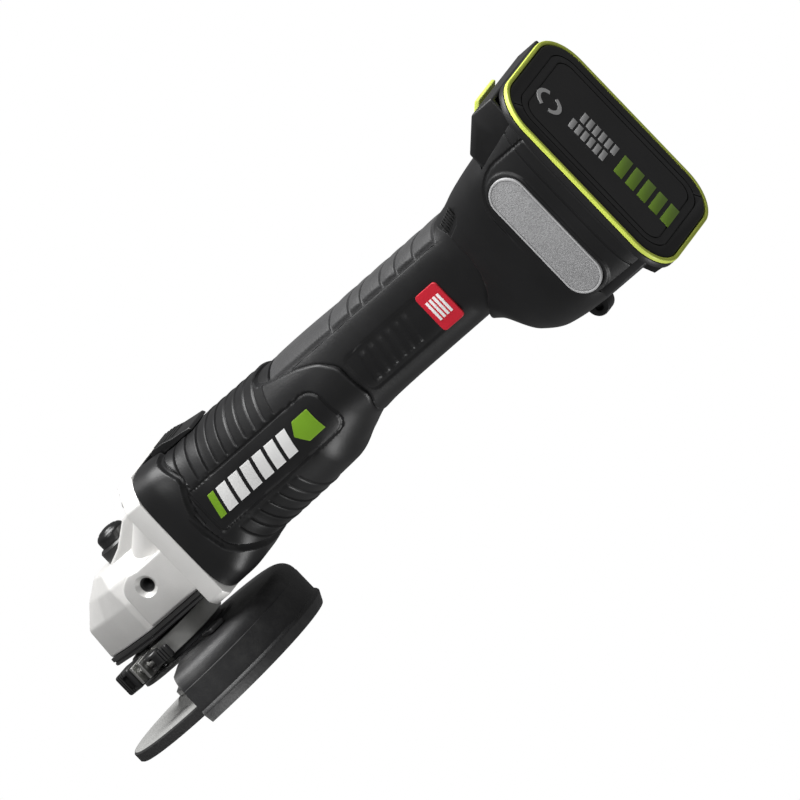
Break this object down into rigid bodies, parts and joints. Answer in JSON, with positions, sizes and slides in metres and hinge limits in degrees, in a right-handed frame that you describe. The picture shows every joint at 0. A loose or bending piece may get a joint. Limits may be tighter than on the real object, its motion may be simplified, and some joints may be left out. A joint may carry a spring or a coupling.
{
  "type": "angle grinder",
  "caption": "Cordless angle grinder with a cranked grinding disc, swivelling wheel guard, slide switch, spindle lock and slide-on battery pack.",
  "frame": {"origin": "centre of the spindle's end face, on the disc's axis of rotation", "axes": "+X from the gear head to the battery pack along the motor, +Z along the spindle away from the disc, +Y to the tool's right"},
  "size_m": [0.4247, 0.1291, 0.1422],
  "materials": {
    "cast_silver": "bead-blasted die casting",
    "shell_black": "fine spark-eroded texture",
    "grip_grey": "soft overmould",
    "guard_black": "powder coat",
    "pad_grey": "grained",
    "steel": "turned",
    "zinc": "zinc plated",
    "abrasive": "bonded abrasive grit",
    "lime": "satin",
    "accent_green": "satin",
    "badge_red": "satin",
    "cell_wrap": "shrink sleeve",
    "circuit_green": "lacquered",
    "fan_nylon": "moulded"
  },
  "bodies": {
    "housing": {"gear_housing": "cast_silver", "bearing_cover": "shell_black", "lower_spindle_bearing": "steel", "upper_spindle_bearing": "steel", "head_screw_1": "zinc", "head_screw_2": "zinc", "head_screw_3": "zinc", "head_screw_4": "zinc", "spindle_lock_collar": "shell_black", "motor_housing": "shell_black", "stator": "steel", "front_motor_bearing": "steel", "rear_motor_bearing": "steel", "label_plate_left": "accent_green", "label_plate_right": "accent_green", "handle_left_shell": "shell_black", "handle_right_shell": "shell_black", "handle_top_grip": "grip_grey", "badge_plate_left": "badge_red", "badge_plate_right": "badge_red", "foot_left_shell": "shell_black", "foot_right_shell": "shell_black", "foot_pad_left": "pad_grey", "foot_pad_right": "pad_grey", "microswitch": "shell_black", "controller_board": "circuit_green", "terminal_block": "shell_black"},
    "spindle": {"spindle": "steel", "crown_gear": "steel", "inner_flange": "zinc", "grinding_disc": "abrasive", "flange_nut": "steel"},
    "rotor": {"rotor": "steel", "pinion": "steel", "fan": "fan_nylon"},
    "spindle_lock": {"spindle_lock_button": "shell_black", "spindle_lock_spring": "steel"},
    "slide_switch": {"slide_switch": "grip_grey", "switch_rod": "fan_nylon"},
    "guard": {"guard": "guard_black", "guard_band": "zinc", "clamp_screw": "zinc", "clamp_block": "shell_black"},
    "clamp_lever": {"clamp_lever": "shell_black"},
    "battery": {"battery_case": "shell_black", "battery_base": "shell_black", "battery_trim_ring": "lime", "battery_cell_1": "cell_wrap", "battery_cell_2": "cell_wrap", "battery_cell_3": "cell_wrap", "battery_cell_4": "cell_wrap", "battery_cell_5": "cell_wrap"},
    "battery_release": {"battery_release_button": "lime"}
  },
  "joints": [
    {"name": "spindle_spin", "type": "hinge", "parent": "housing", "child": "spindle", "pos_m": [0, 0, 0.076], "axis": [0, 0, 1], "continuous": true},
    {"name": "rotor_spin", "type": "hinge", "parent": "housing", "child": "rotor", "pos_m": [0, 0, 0.076], "axis": [1, 0, 0], "continuous": true},
    {"name": "spindle_lock_press", "type": "slide", "parent": "housing", "child": "spindle_lock", "axis": [0, 0, -1], "range_m": [0, 0.005], "stiffness_N_per_m": 800, "springref_m": -0.003, "deforming": ["spindle_lock_spring"]},
    {"name": "switch_slide", "type": "slide", "parent": "housing", "child": "slide_switch", "axis": [-1, 0, 0], "range_m": [0, 0.006]},
    {"name": "guard_swivel", "type": "hinge", "parent": "housing", "child": "guard", "pos_m": [0, 0, 0.076], "axis": [0, 0, 1], "range_deg": [-60, 60]},
    {"name": "clamp_lever_pivot", "type": "hinge", "parent": "guard", "child": "clamp_lever", "pos_m": [0.00104, -0.03509, 0.0375], "axis": [0, 0, 1], "range_deg": [-90, 0]},
    {"name": "battery_slide", "type": "slide", "parent": "housing", "child": "battery", "axis": [0, 0, 1], "range_m": [0, 0.12]},
    {"name": "battery_release_press", "type": "slide", "parent": "battery", "child": "battery_release", "axis": [0.6585, 0, -0.7526], "range_m": [0, 0.003], "stiffness_N_per_m": 900, "springref_m": -0.002}
  ],
  "couplings": [
    {"joint": "rotor_spin", "follows": "spindle_spin", "ratio": 3.5}
  ]
}
